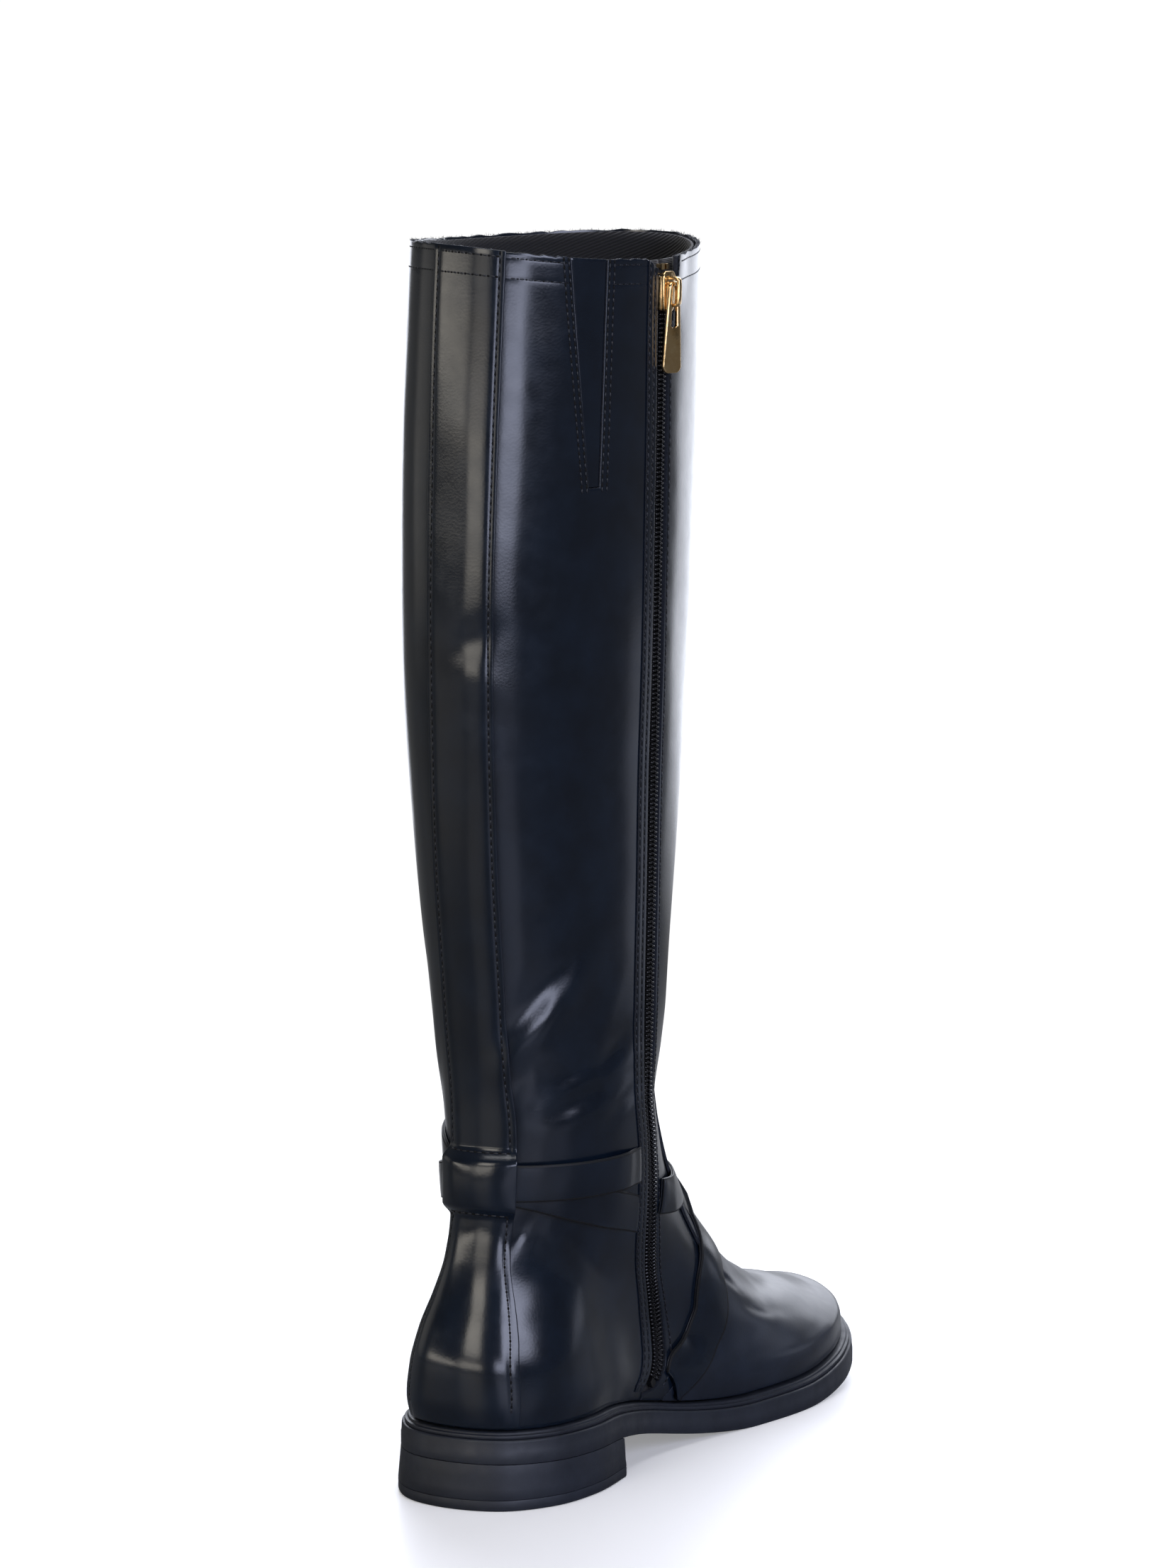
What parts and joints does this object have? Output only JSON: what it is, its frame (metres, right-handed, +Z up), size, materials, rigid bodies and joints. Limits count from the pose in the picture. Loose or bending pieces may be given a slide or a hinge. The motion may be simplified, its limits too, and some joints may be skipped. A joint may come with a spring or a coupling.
{
  "type": "riding boot",
  "caption": "Knee-high black leather riding boot for the left leg, with crossed ankle straps, a low block heel and a side zip.",
  "frame": {"origin": "middle of the heel's ground face", "axes": "+X to the inner side of the leg, where the zip is, +Y to the toe, +Z up the shaft"},
  "size_m": [0.0988, 0.2635, 0.4331],
  "materials": {
    "black_leather": "polished",
    "black_rubber": "matte",
    "black_twill": "woven",
    "fibre_board": "pressed fibre",
    "cork": "granulated cork",
    "black_nylon": "satin",
    "gold_metal": "bright plating",
    "spring_steel": "plain"
  },
  "bodies": {
    "boot": {"inner_rear_panel": "black_leather", "outer_rear_panel": "black_leather", "front_panel": "black_leather", "vamp": "black_leather", "gusset": "black_leather", "back_strip": "black_leather", "ankle_strap": "black_leather", "instep_strap": "black_leather", "zip_facing": "black_leather", "heel_top_lift": "black_rubber", "heel_block": "black_rubber", "outsole": "black_rubber", "welt": "black_rubber", "foot_lining": "black_twill", "shaft_lining": "black_twill", "zip_guard": "black_twill", "insock": "black_twill", "insole_board": "fibre_board", "heel_counter": "fibre_board", "toe_puff": "fibre_board", "zip_tape_rear": "black_nylon", "zip_tape_front": "black_nylon", "zip_coil_rear": "black_nylon", "zip_coil_front": "black_nylon", "zip_top_stop_rear": "gold_metal", "zip_top_stop_front": "gold_metal", "zip_bottom_stop": "gold_metal", "shank": "spring_steel", "sole_filler": "cork"},
    "slider": {"zip_slider": "gold_metal"},
    "pull": {"zip_pull": "gold_metal"}
  },
  "joints": [
    {"name": "zip_slide", "type": "slide", "parent": "boot", "child": "slider", "axis": [0.0088, 0.023, 0.9997], "range_m": [-0.262, 0]},
    {"name": "pull_hinge", "type": "hinge", "parent": "slider", "child": "pull", "pos_m": [0.04272, 0.05129, 0.4173], "axis": [0.0002, -0.9997, 0.023], "range_deg": [0, 165]}
  ]
}
